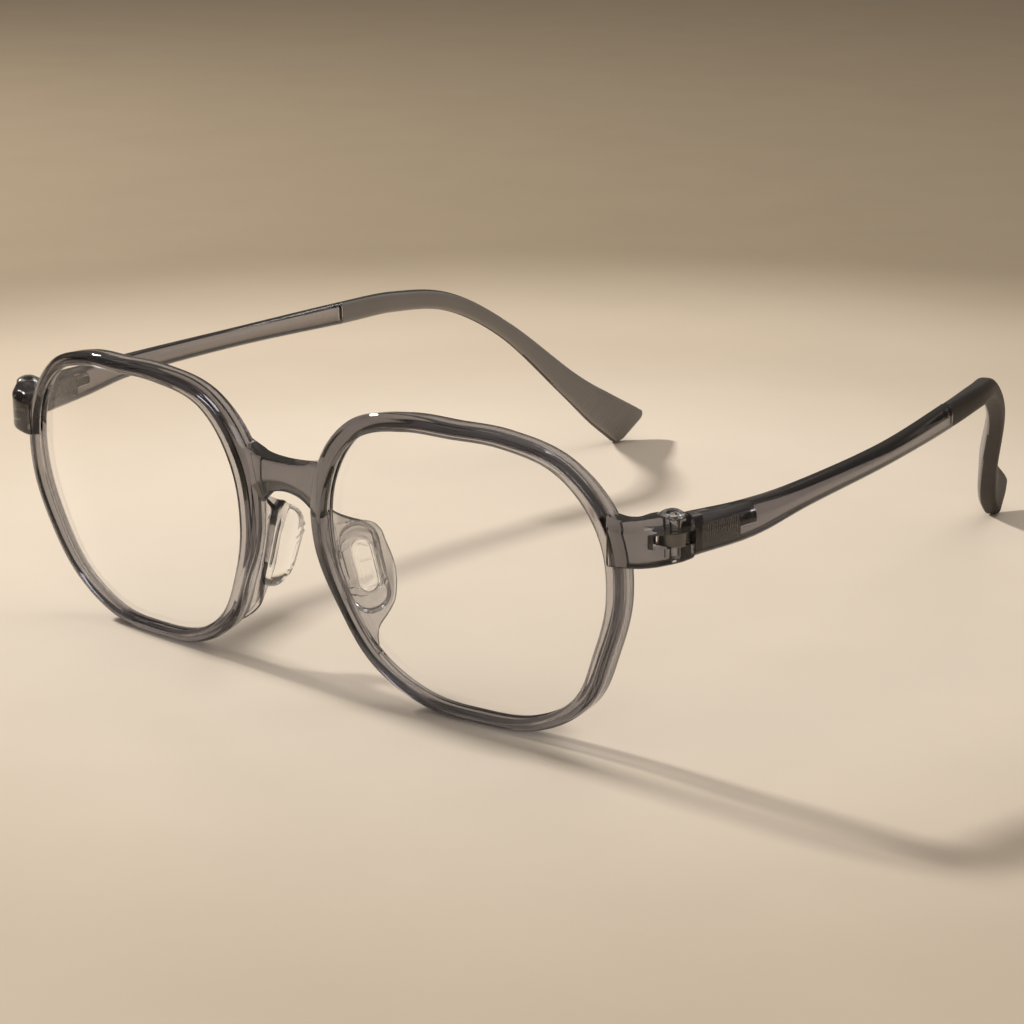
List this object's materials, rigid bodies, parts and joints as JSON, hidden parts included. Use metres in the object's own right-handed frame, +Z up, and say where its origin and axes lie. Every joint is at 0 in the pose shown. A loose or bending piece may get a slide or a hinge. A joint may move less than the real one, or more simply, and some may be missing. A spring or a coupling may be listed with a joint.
{
  "type": "eyeglasses",
  "caption": "Square see-through eyeglasses with clear lenses, slotted nose plates with silicone pads, sprung folding temples and soft tips.",
  "frame": {"origin": "middle of the footprint, on the surface that the rims and the tips stand on", "axes": "+X to the wearer's left, +Y from the lenses back to the temple tips, +Z up"},
  "size_m": [0.1414, 0.1576, 0.0479],
  "materials": {
    "frame": "see-through smoky grey, polished",
    "lens": "clear, polished, coated against glare",
    "pad": "clear soft silicone",
    "pin": "clear, polished",
    "metal": "dark satin",
    "spring": "bright drawn wire",
    "tip": "matt, soft, finely ribbed on the inner face"
  },
  "bodies": {
    "front": {"front_frame": "frame", "lens_left": "lens", "lens_right": "lens", "nose_pad_left": "pad", "nose_pad_right": "pad", "hinge_pin_left": "pin", "hinge_pin_right": "pin"},
    "slider_left": {"spring_slider_left": "metal"},
    "slider_right": {"spring_slider_right": "metal"},
    "temple_left": {"temple_left": "frame", "temple_tip_left": "tip", "spring_seat_left": "metal", "hinge_spring_left": "spring"},
    "temple_right": {"temple_right": "frame", "temple_tip_right": "tip", "spring_seat_right": "metal", "hinge_spring_right": "spring"}
  },
  "joints": [
    {"name": "fold_left", "type": "hinge", "parent": "front", "child": "slider_left", "pos_m": [0.0655, -0.06804, 0.0343], "axis": [0, 0, 1], "range_deg": [0, 82]},
    {"name": "fold_right", "type": "hinge", "parent": "front", "child": "slider_right", "pos_m": [-0.0655, -0.06804, 0.0343], "axis": [0, 0, -1], "range_deg": [0, 70]},
    {"name": "pull_left", "type": "slide", "parent": "slider_left", "child": "temple_left", "axis": [0.1908, 0.9816, 0], "range_m": [0, 0.0012], "stiffness_N_per_m": 2000, "springref_m": -0.0005},
    {"name": "pull_right", "type": "slide", "parent": "slider_right", "child": "temple_right", "axis": [-0.1908, 0.9816, 0], "range_m": [0, 0.0012], "stiffness_N_per_m": 2000, "springref_m": -0.0005}
  ]
}
